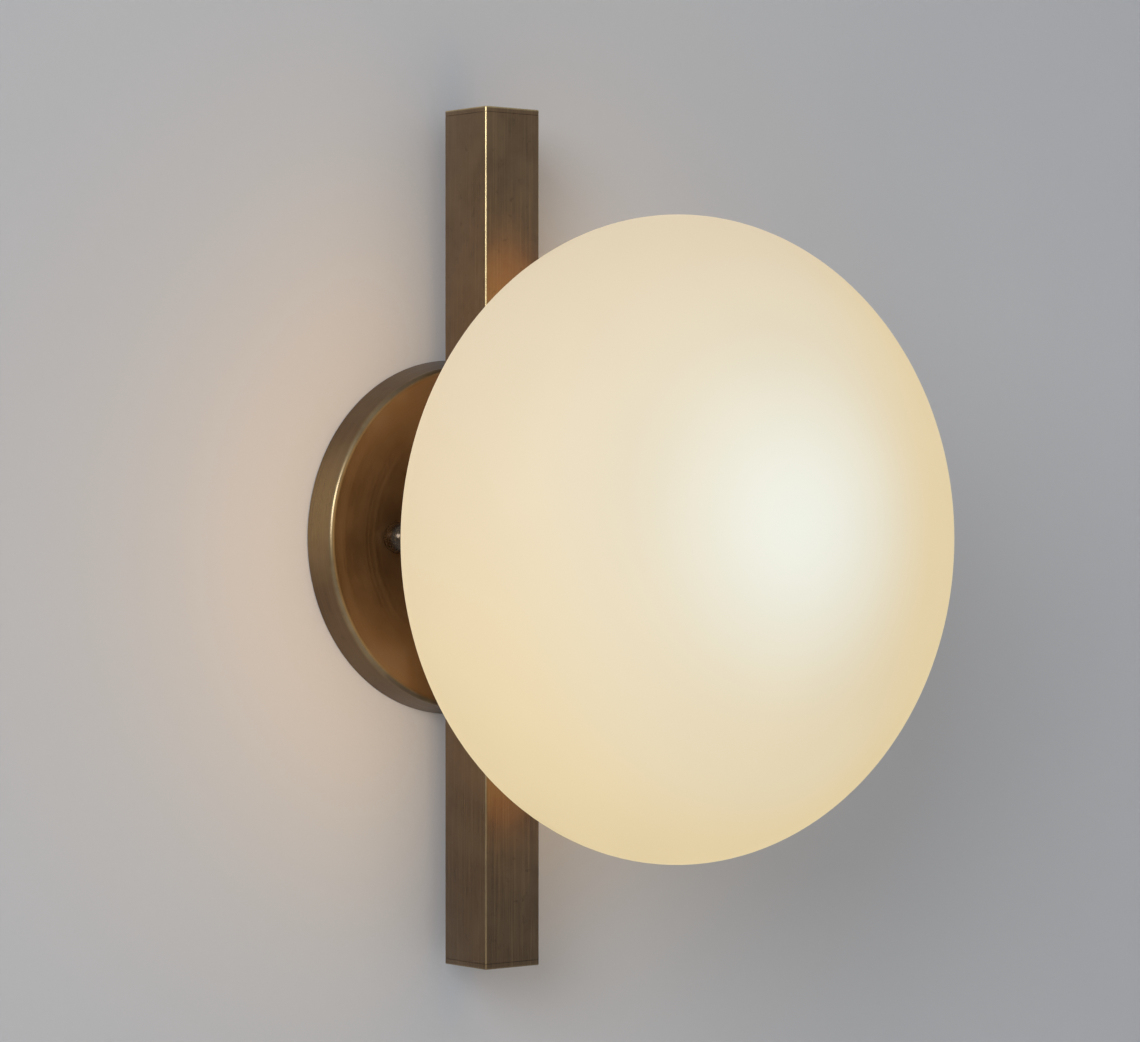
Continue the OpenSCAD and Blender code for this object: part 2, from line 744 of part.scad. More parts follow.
// Black insulating cone between the tip contact and the cap
module bulb_insulator() {
    color([0.06, 0.06, 0.07]) on_lamp() translate([0, 0, contact_height])
        cylinder(r1 = contact_r, r2 = insulator_r, h = insulator_height);
}

// Screw cap of the lamp, with a rolled thread
module bulb_cap() {
    start = contact_height + insulator_height;
    thread = rolled_thread(cap_thread_diameter / 2, first_crest, start + cap_length - 1, first_crest);
    top = thread[len(thread) - 1];
    color(steel_finish) on_lamp() rotate_extrude() polygon(concat(
        [[0, start], [insulator_r, start]],
        thread,
        [[top[0], start + cap_length], [0, start + cap_length]]
    ));
}

// White housing of the lamp, a cone that runs into the globe
module bulb_housing() {
    on_globe = globe_centre + globe_cut;
    color([0.94, 0.94, 0.94]) on_lamp() {
        round_at(housing_neck_r, housing_start, housing_start + contact_height);
        translate([0, 0, housing_start + contact_height])
            cylinder(r1 = housing_neck_r, r2 = globe_cut_r, h = on_globe - housing_start - contact_height);
    }
}

// Frosted globe of the lamp
module bulb_globe() {
    on_globe = globe_centre + globe_cut;
    color([1, 0.97, 0.9]) on_lamp() difference() {
        translate([0, 0, globe_centre]) sphere(r = globe_r);
        translate([0, 0, globe_centre]) sphere(r = globe_r - globe_wall);
        round_at(globe_r + cut, globe_centre - globe_r - cut, on_globe);
    }
}

// Wire from one terminal through the nipple into its connector; the far side turns it half round
module lead(tint) {
    mouth = wire_nut_mouth;
    color(tint) wire([
        [terminal_x - terminal_size / 2, 0, lead_front],
        [lead_offset, 0, lead_front],
        [lead_offset, 0, lead_rear],
        [mouth[0] / 2, mouth[1], wire_nut_depth],
        [mouth[0] + wire_nut_hole - loose, mouth[1], wire_nut_depth]
    ], wire_diameter / 2, wire_bend);
}

module lead_live() from_wall() lead([0.1, 0.1, 0.1]);
module lead_neutral() from_wall() rotate(180) lead([0.9, 0.9, 0.9]);

// Bare copper wire from the earth tag to the ground screw, laid beside its shank
module earth_lead() {
    side = stud_diameter / 2 + wire_diameter / 2 + 0.1;
    low = plate_thickness + wire_diameter / 2 + 0.1;
    color([0.3, 0.55, 0.25]) from_wall() rotate(-45) wire([
        [tag_reach, 0, rear_nut_front],
        [tag_reach, 0, low],
        [ground_place - 8, side, low],
        [ground_place + ground_head_r, side, low]
    ], wire_diameter / 2, wire_bend * 0.9);
}

// Twist-on connector that lies on the wall plate with its mouth towards the stem
module wire_nut(tint) {
    mouth_r = wire_nut_diameter / 2;
    tip_r = mouth_r * 0.62;
    skirt = wire_nut_length * 0.35;
    color(tint) translate([wire_nut_mouth[0], wire_nut_mouth[1], wire_nut_depth]) rotate([0, 90, 0]) difference() {
        union() {
            round_at(mouth_r, 0, skirt);
            translate([0, 0, skirt]) cylinder(r1 = mouth_r * 0.86, r2 = tip_r, h = wire_nut_length - skirt);
        }
        round_at(mouth_r - wire_nut_wall, -cut, wire_nut_hole * 0.55);
        round_at(tip_r - wire_nut_wall / 2, -cut, wire_nut_hole);
    }
}

module wire_nut_live() from_wall() wire_nut([0.85, 0.45, 0.12]);
module wire_nut_neutral() from_wall() rotate(180) wire_nut([0.85, 0.45, 0.12]);

wall_plate();
ground_screw();
mounting_studs();
stud_nuts();
canopy();
cap_nut_left();
cap_nut_right();
bar_tube();
bar_cap_top();
bar_cap_bottom();
bar_sleeve();
bar_screws();
threaded_nipple();
rear_nut();
earth_tag();
standoff_collar();
front_washer();
front_nut();
gallery_cup();
neck_gasket();
thumbscrew_top();
thumbscrew_left();
thumbscrew_right();
glass_shade();
holder_strap();
holder_screws();
holder_body();
holder_shell();
holder_contact();
holder_terminals();
bulb_globe();
bulb_housing();
bulb_cap();
bulb_insulator();
bulb_contact();
lead_live();
lead_neutral();
earth_lead();
wire_nut_live();
wire_nut_neutral();
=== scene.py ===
import math

import bpy
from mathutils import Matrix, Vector


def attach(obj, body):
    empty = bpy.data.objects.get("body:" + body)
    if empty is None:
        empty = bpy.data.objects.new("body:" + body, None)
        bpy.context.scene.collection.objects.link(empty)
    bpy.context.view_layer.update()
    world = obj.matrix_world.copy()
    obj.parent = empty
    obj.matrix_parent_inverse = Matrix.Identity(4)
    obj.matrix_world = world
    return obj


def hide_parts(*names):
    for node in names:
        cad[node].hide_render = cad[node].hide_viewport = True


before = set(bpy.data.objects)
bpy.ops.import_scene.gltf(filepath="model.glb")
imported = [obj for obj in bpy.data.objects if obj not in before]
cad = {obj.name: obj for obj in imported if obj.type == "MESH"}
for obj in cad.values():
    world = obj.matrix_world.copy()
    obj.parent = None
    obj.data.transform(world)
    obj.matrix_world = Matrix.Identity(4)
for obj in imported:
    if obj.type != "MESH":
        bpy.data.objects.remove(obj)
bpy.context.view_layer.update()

# Camera. The light is seen from its left and level with its middle, from 1.4 m away through a long lens.
# Y runs into the wall, X to the right as seen from the room, and Z up.
look_at = Vector((0.00799, -0.060, 0.00621))
swing, rise, away = math.radians(38.79), math.radians(0.22), 1.3922
level = math.cos(rise)
stand = look_at + away * Vector((-math.sin(swing) * level, -math.cos(swing) * level, math.sin(rise)))
bpy.ops.object.camera_add(location=stand)
camera = bpy.context.object
camera.rotation_mode = "QUATERNION"
camera.rotation_quaternion = (look_at - stand).to_track_quat("-Z", "Y")
camera.data.sensor_width = 36
camera.data.lens = 121.15
camera.data.clip_start = 0.05
bpy.context.scene.camera = camera


# Wall and floor. Plain painted plaster behind the light, with the wall box's round hole behind the canopy,
# and a pale floor well below. Seen from behind, the wall lets the view through, so that the back of the
# light shows.
def material(name):
    """A new material with its Principled shader."""
    made = bpy.data.materials.new(name)
    made.use_nodes = True
    return made, made.node_tree, made.node_tree.nodes["Principled BSDF"]


def add(tree, kind, inputs=(), **settings):
    """A node with its settings made, and its inputs set to a value or fed from a socket."""
    made = tree.nodes.new("ShaderNode" + kind)
    for key, value in settings.items():
        setattr(made, key, value)
    for key, value in dict(inputs).items():
        if isinstance(value, bpy.types.NodeSocket):
            tree.links.new(value, made.inputs[key])
        else:
            made.inputs[key].default_value = value
    return made


def feed(tree, socket, value):
    tree.links.new(socket, value)


def place(tree):
    """Where a point is on the object, in metres from the middle of the canopy's back."""
    return add(tree, "TexCoord").outputs["Object"]


def parted(tree, vector):
    """The three parts of a vector."""
    return add(tree, "SeparateXYZ", {0: vector}).outputs


def noise(tree, coordinates, scale, detail=3.0, roughness=0.5):
    inputs = {"Vector": coordinates, "Scale": scale, "Detail": detail, "Roughness": roughness}
    return add(tree, "TexNoise", inputs).outputs["Fac"]


def between(tree, value, low, high, to_low=0.0, to_high=1.0):
    """value from low to high, turned smoothly into to_low to to_high."""
    return add(
        tree, "MapRange",
        {"Value": value, "From Min": low, "From Max": high, "To Min": to_low, "To Max": to_high},
        interpolation_type="SMOOTHSTEP",
    ).outputs["Result"]


def blended(tree, factor, a, b, how="MIX"):
    """Two colours, mixed by a factor."""
    made = add(tree, "Mix", {0: factor, 6: a, 7: b}, data_type="RGBA", blend_type=how)
    return made.outputs[2]


def maths(tree, how, a, b=0.0):
    return add(tree, "Math", {0: a, 1: b}, operation=how).outputs[0]


def tint(tree, shader, factor, a, b):
    """Gives a shader a colour between two, by a factor."""
    feed(tree, shader.inputs["Base Color"], blended(tree, factor, (*a, 1), (*b, 1)))


def bump(tree, shader, height, depth, strength=1.0):
    """Relief of so many metres."""
    made = add(tree, "Bump", {"Height": height, "Distance": depth, "Strength": strength})
    feed(tree, shader.inputs["Normal"], made.outputs["Normal"])


def deselect():
    bpy.ops.object.select_all(action="DESELECT")


box_hole_radius, behind_canopy, wall_growth = 0.055, 0.0004, 90
deselect()
bpy.ops.mesh.primitive_circle_add(
    vertices=96, radius=box_hole_radius, location=(0, behind_canopy, 0), rotation=(math.pi / 2, 0, 0),
)
wall = bpy.context.object
wall.name = "wall"
bpy.ops.object.transform_apply()
bpy.ops.object.mode_set(mode="EDIT")
bpy.ops.mesh.extrude_region_move()
bpy.ops.transform.resize(value=(wall_growth, wall_growth, wall_growth))
bpy.ops.mesh.select_all(action="SELECT")
bpy.ops.mesh.normals_make_consistent(inside=False)
bpy.ops.object.mode_set(mode="OBJECT")
if wall.data.polygons[0].normal.y > 0:
    wall.data.flip_normals()

plaster, tree, shader = material("plaster")
brushed_out = between(tree, noise(tree, place(tree), 3.0), 0.35, 0.65)
tint(tree, shader, brushed_out, (0.535, 0.540, 0.552), (0.555, 0.560, 0.570))
shader.inputs["Roughness"].default_value = 0.9
bump(tree, shader, noise(tree, place(tree), 260.0, 2.0), 0.0003, 0.3)
from_behind = add(tree, "NewGeometry").outputs["Backfacing"]
clear = add(tree, "BsdfTransparent")
sided = add(tree, "MixShader", {0: from_behind, 1: shader.outputs[0], 2: clear.outputs[0]})
feed(tree, tree.nodes["Material Output"].inputs["Surface"], sided.outputs[0])
wall.data.materials.append(plaster)

deselect()
floor_size, floor_height = 12, -0.9
bpy.ops.mesh.primitive_plane_add(size=floor_size, location=(0, 0, floor_height))
floor = bpy.context.object
floor.name = "floor"
pale, tree, shader = material("pale_floor")
shader.inputs["Base Color"].default_value = (0.78, 0.77, 0.76, 1)
shader.inputs["Roughness"].default_value = 0.8
floor.data.materials.append(pale)


# Light. Soft daylight from the left and a pale room all round, a little darker to the right. Warm glows
# stand for the part of the lamp's own light that leaves the back of the glass and falls on the bar and the
# wall.
def soft_light(name, at, towards, width, power, colour):
    bpy.ops.object.light_add(type="AREA", location=at)
    made = bpy.context.object
    made.name = name
    made.rotation_mode = "QUATERNION"
    made.rotation_quaternion = (Vector(towards) - Vector(at)).to_track_quat("-Z", "Y")
    made.data.shape = "DISK"
    made.data.size = width
    made.data.energy = power
    made.data.color = colour
    made.visible_camera = False
    return made


middle = (0, 0, 0)
soft_light("key", (-2.0, -1.6, 0.75), (0, -0.05, 0), 1.3, 28, (0.97, 0.98, 1.0))
soft_light("behind", (0.3, 1.2, 0.4), middle, 0.8, 10, (1.0, 1.0, 1.0))
close_glow = soft_light("close_glow", (0, -0.078, 0), middle, 0.19, 0.125, (1.0, 0.52, 0.14))
close_glow.visible_glossy = False
glow_height = 0.086
for name, height in (("upper_glow", glow_height), ("lower_glow", -glow_height)):
    soft_light(name, (0.030, -0.086, height), (-0.010, -0.0365, height), 0.05, 0.0048, (1.0, 0.42, 0.06))
spill_from, spill_on = Vector((-0.5, -0.75, -0.1)), Vector((-0.16, 0, 0.0))
bpy.ops.object.light_add(type="SPOT", location=spill_from)
wide_glow = bpy.context.object
wide_glow.name = "wide_glow"
wide_glow.rotation_mode = "QUATERNION"
wide_glow.rotation_quaternion = (spill_on - spill_from).to_track_quat("-Z", "Y")
wide_glow.data.spot_size = math.radians(27)
wide_glow.data.spot_blend = 1.0
wide_glow.data.shadow_soft_size = 0.12
wide_glow.data.energy = 1.4
wide_glow.data.color = (1.0, 0.48, 0.08)
wide_glow.visible_camera = wide_glow.visible_glossy = False

world = bpy.data.worlds.new("room")
bpy.context.scene.world = world
world.use_nodes = True
tree = world.node_tree
aside, _, upward = parted(tree, add(tree, "TexCoord").outputs["Generated"])
room = blended(tree, between(tree, aside, -1.0, 1.0), (0.56, 0.57, 0.60, 1), (0.40, 0.40, 0.41, 1))
sky = blended(tree, between(tree, upward, -1.0, 1.0), (0.89, 0.87, 0.85, 1), (1.07, 1.10, 1.11, 1))
room = blended(tree, 1.0, room, sky, "MULTIPLY")
feed(tree, tree.nodes["Background"].inputs["Color"], room)

bpy.context.scene.view_settings.view_transform = "Standard"


# Wall plate. Pressed steel disc with a turned rim, zinc plated. Two slots take the screws of the wall box,
# and the house wires come through its middle.
def finish(name, roughness, metallic=0.0, colour=None):
    """A material, its nodes and its shader, with what is the same all over set on the shader."""
    made, tree, shader = material(name)
    shader.inputs["Roughness"].default_value = roughness
    shader.inputs["Metallic"].default_value = metallic
    if colour:
        shader.inputs["Base Color"].default_value = (*colour, 1)
    return made, tree, shader


def dress(piece, made):
    """Gives a piece its one material."""
    piece.data.materials.clear()
    piece.data.materials.append(made)


def plated(name, colour, stain):
    """Plated steel: a fine frosty grain with a faint stain."""
    made, tree, shader = finish(name, 0.35, 1.0)
    at = place(tree)
    frost = between(tree, noise(tree, at, 700.0, 2.0), 0.3, 0.7, 0.9, 1.06)
    tone = blended(tree, between(tree, noise(tree, at, 45.0), 0.4, 0.75), (*colour, 1), (*stain, 1))
    feed(tree, shader.inputs["Base Color"], blended(tree, 1.0, tone, frost, "MULTIPLY"))
    feed(tree, shader.inputs["Roughness"], between(tree, noise(tree, at, 240.0), 0.3, 0.7, 0.3, 0.44))
    bump(tree, shader, noise(tree, at, 1100.0), 0.00004, 0.4)
    return made


zinc = plated("zinc_steel", (0.62, 0.63, 0.64), (0.58, 0.57, 0.52))
dress(cad["wall_plate"], zinc)

# Studs and their lock nuts. Two steel studs are screwed into the plate, each held by a hexagon nut. The cap
# nuts go on their front ends.
mm = 0.001
outwards = (math.pi / 2, 0, 0)
stud_x, stud_radius = 35, 2.0


def joined(name, pieces):
    """One piece of several."""
    deselect()
    for piece in pieces:
        piece.select_set(True)
    bpy.context.view_layer.objects.active = pieces[0]
    if len(pieces) > 1:
        bpy.ops.object.join()
    pieces[0].name = pieces[0].data.name = name
    return pieces[0]


def picked(piece):
    """Makes a piece the one that the tools work on."""
    deselect()
    piece.select_set(True)
    bpy.context.view_layer.objects.active = piece
    return piece


def settled(piece, move=(0, 0, 0), turn=(0, 0, 0)):
    """Turns a piece and moves it so many mm, and puts its place in its mesh."""
    picked(piece)
    piece.location = Vector(move) * mm
    piece.rotation_mode = "XYZ"
    piece.rotation_euler = turn
    bpy.ops.object.transform_apply(location=True, rotation=True, scale=True)
    return piece


def smooth(piece, angle=35):
    picked(piece)
    bpy.ops.object.shade_smooth_by_angle(angle=math.radians(angle))
    return piece


def worked(piece, kind, **settings):
    """Applies one modifier to a piece."""
    picked(piece)
    made = piece.modifiers.new(kind.lower(), kind)
    for key, value in settings.items():
        setattr(made, key, value)
    bpy.ops.object.modifier_apply(modifier=made.name)
    return piece


def cut_by(piece, tool, how="DIFFERENCE"):
    """Cuts a piece with another, which is then gone."""
    worked(piece, "BOOLEAN", operation=how, object=tool, solver="EXACT")
    bpy.data.objects.remove(tool)
    return piece


def fitted(piece, made, slot, body, *nodes):
    """Dresses a finished piece, hides the nodes it stands for, and gives it their body."""
    dress(piece, made)
    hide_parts(*nodes)
    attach(piece, body)


def pointed():
    """A new mesh of one point at the origin, open in edit mode."""
    deselect()
    bpy.ops.mesh.primitive_plane_add(size=0.002)
    bpy.ops.object.mode_set(mode="EDIT")
    bpy.ops.mesh.merge(type="CENTER")
    return bpy.context.object


def drawn(corners):
    """Pulls the selected point from corner to corner, from the origin on."""
    here = Vector((0, 0, 0))
    for index, corner in enumerate(corners):
        step = Vector(corner) - here
        here = Vector(corner)
        if index:
            bpy.ops.mesh.extrude_region_move(TRANSFORM_OT_translate={"value": step})
        else:
            bpy.ops.transform.translate(value=step)


def threaded_rod(name, radius, start, end, pitch, depth):
    """A rod with a real thread along Z between two heights in mm: a tooth wound up it, and its ends cut square."""
    rod = pointed()
    rod.name = rod.data.name = name
    root = (radius - depth) * mm
    low = (start - pitch) * mm
    drawn([
        (root, 0, low), (radius * mm, 0, low + 0.45 * pitch * mm), (radius * mm, 0, low + 0.55 * pitch * mm),
        (root, 0, low + pitch * mm),
    ])
    bpy.ops.object.mode_set(mode="OBJECT")
    turns = int((end - start) / pitch) + 3
    worked(
        rod, "SCREW", axis="Z", angle=2 * math.pi, screw_offset=pitch * mm, iterations=turns,
        steps=24, render_steps=24, use_merge_vertices=True, merge_threshold=1e-6,
    )
    bpy.ops.object.mode_set(mode="EDIT")
    bpy.ops.mesh.select_all(action="SELECT")
    bpy.ops.mesh.remove_doubles(threshold=2e-6)
    for height, up in ((start, -1), (end, 1)):
        bpy.ops.mesh.select_all(action="SELECT")
        level = (0, 0, height * mm)
        bpy.ops.mesh.bisect(plane_co=level, plane_no=(0, 0, up), clear_outer=True, use_fill=True)
    bpy.ops.mesh.select_all(action="SELECT")
    bpy.ops.mesh.normals_make_consistent(inside=False)
    bpy.ops.object.mode_set(mode="OBJECT")
    return smooth(rod, 25)


def at_both(x, make):
    """The same piece made twice, left and right."""
    return [settled(make(), (side * x, 0, 0)) for side in (-1, 1)]


def stud():
    return settled(threaded_rod("stud", stud_radius, 0, 17.5, 0.7, 0.38), turn=outwards)


fitted(joined("threaded_studs", at_both(stud_x, stud)), zinc, "zinc_steel", "frame", "mounting_studs")


def turned(name, outline, steps=128):
    """A turned or spun piece, from its outline of (radius, distance out of the wall) in mm."""
    piece = pointed()
    piece.name = piece.data.name = name
    drawn([(r * mm, -d * mm, 0) for r, d in outline])
    bpy.ops.mesh.select_all(action="SELECT")
    bpy.ops.mesh.spin(steps=steps, angle=2 * math.pi, center=(0, 0, 0), axis=(0, 1, 0))
    bpy.ops.mesh.select_all(action="SELECT")
    bpy.ops.mesh.remove_doubles(threshold=2e-6)
    bpy.ops.mesh.normals_make_consistent(inside=False)
    bpy.ops.object.mode_set(mode="OBJECT")
    return smooth(piece)


def closed(outline):
    return [*outline, outline[0]]


def hexagon_nut(width, hole, back, front):
    """A hexagon nut in mm, its corners chamfered on both faces and its hole countersunk."""
    deselect()
    bpy.ops.mesh.primitive_cylinder_add(
        vertices=6, radius=width / 2 / math.cos(math.pi / 6) * mm, depth=(front - back) * mm,
        location=(0, -(front + back) / 2 * mm, 0), rotation=(math.pi / 2, math.pi / 6, 0),
    )
    nut = bpy.context.object
    bpy.ops.object.transform_apply()
    r, deep = width / 2, 0.16 * width / 2
    sunk = 0.3
    ring = turned("chamfers", closed([
        (hole + sunk, back), (r * 0.96, back), (r * 1.2, back + deep), (r * 1.2, front - deep),
        (r * 0.96, front), (hole + sunk, front), (hole, front - sunk), (hole, back + sunk),
    ]), 64)
    return smooth(cut_by(nut, ring, "INTERSECT"), 25)


lock_nuts = joined("lock_nuts", at_both(stud_x, lambda: hexagon_nut(7, stud_radius, 2.0, 4.2)))
fitted(lock_nuts, zinc, "zinc_steel", "frame", "stud_nuts")


# Canopy. Spun from brass sheet, toned dark brown in a bath and lacquered. The tone is thin along the rings
# that the spinning left, and on the rounded edge, where hands rubbed it.
# A brighter patch on the left of its side is a painted highlight, and its flat is painted redder: painted warm
# light from the lamp.
def product(tree, *factors):
    """Several values multiplied."""
    whole = factors[0]
    for factor in factors[1:]:
        whole = maths(tree, "MULTIPLY", whole, factor)
    return whole


def off_axis(tree, x, z):
    """How far a point is from the middle line of the canopy."""
    return maths(tree, "SQRT", maths(tree, "ADD", product(tree, x, x), product(tree, z, z)))


def antique_brass(name, grain, wear_and_highlight=None, gloss=0.34, depth=1.0, polish=0.1, painted_warm_glow=None):
    """Toned brass. Its grain runs round a turned piece or up a drawn one, and a drawn piece is painted darker
    towards its lower end: painted shade. Where the wear mask is 1 the tone is rubbed off and the metal polished:
    real wear, and in places a painted highlight. Where the warm-glow mask is 1 the tone is painted redder: painted
    warm light from the lamp."""
    made, tree, shader = finish(name, gloss, 1.0)
    at = place(tree)
    x, y, z = parted(tree, at)
    if grain == "turned":
        along = add(tree, "CombineXYZ", {0: off_axis(tree, x, z), 1: y}).outputs[0]
    elif grain == "drawn":
        along = add(tree, "CombineXYZ", {0: x, 1: y, 2: product(tree, z, 0.02)}).outputs[0]
    else:
        along = at
    lines = noise(tree, along, 1500.0, 3.0, 0.6)
    clouds = noise(tree, at, 38.0, 4.0, 0.6)
    dark, light = (tuple(c * depth for c in tone) for tone in ((0.165, 0.100, 0.048), (0.222, 0.141, 0.071)))
    tone_and_shade = blended(tree, between(tree, clouds, 0.32, 0.68), (*dark, 1), (*light, 1))
    # A drawn piece is painted darker towards its lower end: painted shade.
    if grain == "drawn":
        tone_and_shade = blended(tree, 1.0, tone_and_shade, between(tree, z, -0.15, 0.02, 0.74, 1.0), "MULTIPLY")
    rubbed = blended(tree, between(tree, lines, 0.45, 0.75, 0.0, 0.28), tone_and_shade, (0.36, 0.235, 0.11, 1))
    specks = between(tree, noise(tree, at, 260.0, 4.0, 0.7), 0.6, 0.72, 0.0, 0.4)
    spotted = blended(tree, specks, rubbed, (0.07, 0.042, 0.022, 1))
    rough = between(tree, maths(tree, "ADD", lines, clouds), 0.75, 1.25, gloss - 0.07, gloss + 0.08)
    # The wear mask bares and polishes the metal: real wear, and in places a painted highlight.
    if wear_and_highlight:
        bare_and_highlight = wear_and_highlight(tree, at, x, y, z, clouds)
        spotted = blended(tree, bare_and_highlight, spotted, (0.74, 0.58, 0.29, 1))
        rough = maths(tree, "SUBTRACT", rough, product(tree, bare_and_highlight, polish))
    # Painted warm light: the tone is made redder where the lamp's glow falls.
    if painted_warm_glow:
        spotted = blended(tree, painted_warm_glow(tree, x, z), spotted, (0.40, 0.22, 0.095, 1))
    feed(tree, shader.inputs["Base Color"], spotted)
    feed(tree, shader.inputs["Roughness"], rough)
    bump(tree, shader, lines, 0.00003, 0.35)
    shader.inputs["Coat Weight"].default_value = 0.6
    shader.inputs["Coat Roughness"].default_value = 0.16
    return made


def rubbed_edge_and_highlight(tree, at, x, y, z, clouds):
    """Where the canopy's tone is thin, on its proud edge where hands rubbed it, and a painted highlight: a
    brighter patch on the left of its side.
    """
    out = off_axis(tree, x, z)
    off_edge = maths(tree, "ABSOLUTE", maths(tree, "SUBTRACT", out, 0.0632))
    ring = between(tree, off_edge, 0.002, 0.0004)
    high = between(tree, y, -0.0090, -0.0106)
    edge = product(tree, ring, high, between(tree, clouds, 0.3, 0.7, 0.05, 0.2))
    # Painted highlight: a brighter, smoother patch on the side, on its left, where the daylight catches it.
    highlight_spot = (-0.066, -0.005, 0.012)
    off_highlight_spot = add(tree, "VectorMath", {0: at, 1: highlight_spot}, operation="DISTANCE").outputs["Value"]
    highlight_patch = between(tree, off_highlight_spot, 0.036, 0.004, 0.0, 0.2)
    side = product(tree, between(tree, out, 0.0612, 0.0630), highlight_patch)
    return maths(tree, "MAXIMUM", edge, side)


def painted_glow_face(tree, x, z):
    """Where the canopy's flat is painted redder: painted warm light from the lamp's glass."""
    return between(tree, off_axis(tree, x, z), 0.0630, 0.0612, 0.0, 0.65)


def arc(middle_r, middle_d, radius, start, end, steps):
    """Points on an arc in mm; 0 degrees points away from the axis and 90 out of the wall."""
    angles = [math.radians(start + (end - start) * i / steps) for i in range(steps + 1)]
    return [(middle_r + radius * math.cos(t), middle_d + radius * math.sin(t)) for t in angles]


def post(radius, back, front, x=0, z=0, steps=48):
    """A round post out of the wall between two depths in mm."""
    deselect()
    bpy.ops.mesh.primitive_cylinder_add(
        vertices=steps, radius=radius * mm, depth=(front - back) * mm,
        location=(x * mm, -(front + back) / 2 * mm, z * mm), rotation=outwards,
    )
    bpy.ops.object.transform_apply()
    return bpy.context.object


canopy_out, canopy_front, sheet, edge, lean = 66.0, 11.5, 1.2, 2.0, 2.0
edge_r, edge_d, foot = canopy_out - lean - edge, canopy_front - edge, canopy_out - 1.03 * sheet
side_angle = math.degrees(
    math.atan2(canopy_out - edge_r, edge_d) - math.asin(edge / math.hypot(canopy_out - edge_r, edge_d))
)
stem_hole, stud_hole, screw_hole, screw_z = 5.15, 2.3, 2.15, 28
canopy = turned("spun_canopy", closed([
    (canopy_out, 0), *arc(edge_r, edge_d, edge, side_angle, 90, 12), (stem_hole, canopy_front),
    (stem_hole, canopy_front - sheet), *arc(edge_r, edge_d, edge - sheet, 90, side_angle, 8), (foot, 0),
]), 192)
for x, z, hole in (
    (-stud_x, 0, stud_hole), (stud_x, 0, stud_hole), (0, -screw_z, screw_hole), (0, screw_z, screw_hole),
):
    cut_by(canopy, post(hole, 5, 20, x, z, 32))
canopy_brass = antique_brass("antique_brass_canopy", "turned", rubbed_edge_and_highlight, 0.5, 0.72, 1.2, painted_glow_face)
fitted(smooth(canopy, 30), canopy_brass, "antique_brass", "frame", "canopy")


# Bar. Square brass tube, drawn, brushed lengthwise and toned like the canopy, with the tone rubbed off its
# long edges. It is drilled for the stem and for two screws, and a plug closes each end.
# The bar's edges are painted brighter towards its top, a painted highlight, and the bar and its plugs darker
# towards the foot, painted shade.
def block(low, high):
    """A square-edged block between two corners in mm."""
    deselect()
    bpy.ops.mesh.primitive_cube_add(size=1, location=(Vector(low) + Vector(high)) / 2 * mm)
    bpy.context.object.scale = (Vector(high) - Vector(low)) * mm
    bpy.ops.object.transform_apply()
    return bpy.context.object


def rounded_edges(piece, radius, steps, chosen):
    """Rounds the edges whose two ends pass the test."""
    picked(piece)
    bpy.ops.object.mode_set(mode="EDIT")
    bpy.ops.mesh.select_mode(type="EDGE")
    bpy.ops.mesh.select_all(action="DESELECT")
    bpy.ops.object.mode_set(mode="OBJECT")
    points = piece.data.vertices
    for edge in piece.data.edges:
        edge.select = chosen(*(points[v].co / mm for v in edge.vertices))
    bpy.ops.object.mode_set(mode="EDIT")
    bpy.ops.mesh.bevel(offset=radius * mm, offset_type="OFFSET", segments=steps, profile=0.5)
    bpy.ops.mesh.select_mode(type="VERT")
    bpy.ops.object.mode_set(mode="OBJECT")
    return piece


def upright(a, b):
    return abs(a.z - b.z) > 1


def edge_wear_and_highlight(tree, at, x, y, z, clouds):
    """How near a point is to one of the bar's long edges or ends, broken up a little: its worn edges, with a
    painted highlight that grows towards the top.
    """
    aside = maths(tree, "ABSOLUTE", x)
    deep = maths(tree, "ABSOLUTE", maths(tree, "ADD", y, 0.024))
    ends = maths(tree, "SUBTRACT", maths(tree, "ABSOLUTE", z), 0.145)
    corner = maths(tree, "MINIMUM", aside, deep)
    rim = maths(tree, "MINIMUM", maths(tree, "MAXIMUM", aside, deep), ends)
    near = between(tree, maths(tree, "MAXIMUM", corner, rim), 0.0117, 0.0124)
    # Painted highlight: the worn edges are made brighter towards the top of the bar, where the light catches them.
    highlight_towards_top = between(tree, z, -0.05, 0.07, 0.2, 0.85)
    return product(tree, near, highlight_towards_top, between(tree, clouds, 0.3, 0.6, 0.6, 1.0))


brushed_brass = antique_brass("antique_brass_bar", "drawn", edge_wear_and_highlight)
bar_half, bar_back, bar_front, bar_wall, bar_corner, tube_end, past = 12.5, 11.5, 36.5, 2, 0.8, 155.5, 170
inner_half, inner_back, inner_front = bar_half - bar_wall, bar_back + bar_wall, bar_front - bar_wall
bar = block((-bar_half, -bar_front, -tube_end), (bar_half, -bar_back, tube_end))
rounded_edges(bar, bar_corner, 5, upright)
cut_by(bar, block((-inner_half, -inner_front, -past), (inner_half, -inner_back, past)))
cut_by(bar, post(stem_hole, 5, 45))
for z in (-screw_z, screw_z):
    cut_by(bar, post(2.0, 5, 20, 0, z))
worked(bar, "BEVEL", width=0.12 * mm, segments=1, limit_method="ANGLE", angle_limit=math.radians(60))
bar.name = bar.data.name = "square_bar"
fitted(smooth(bar, 25), brushed_brass, "antique_brass", "frame", "bar_tube")


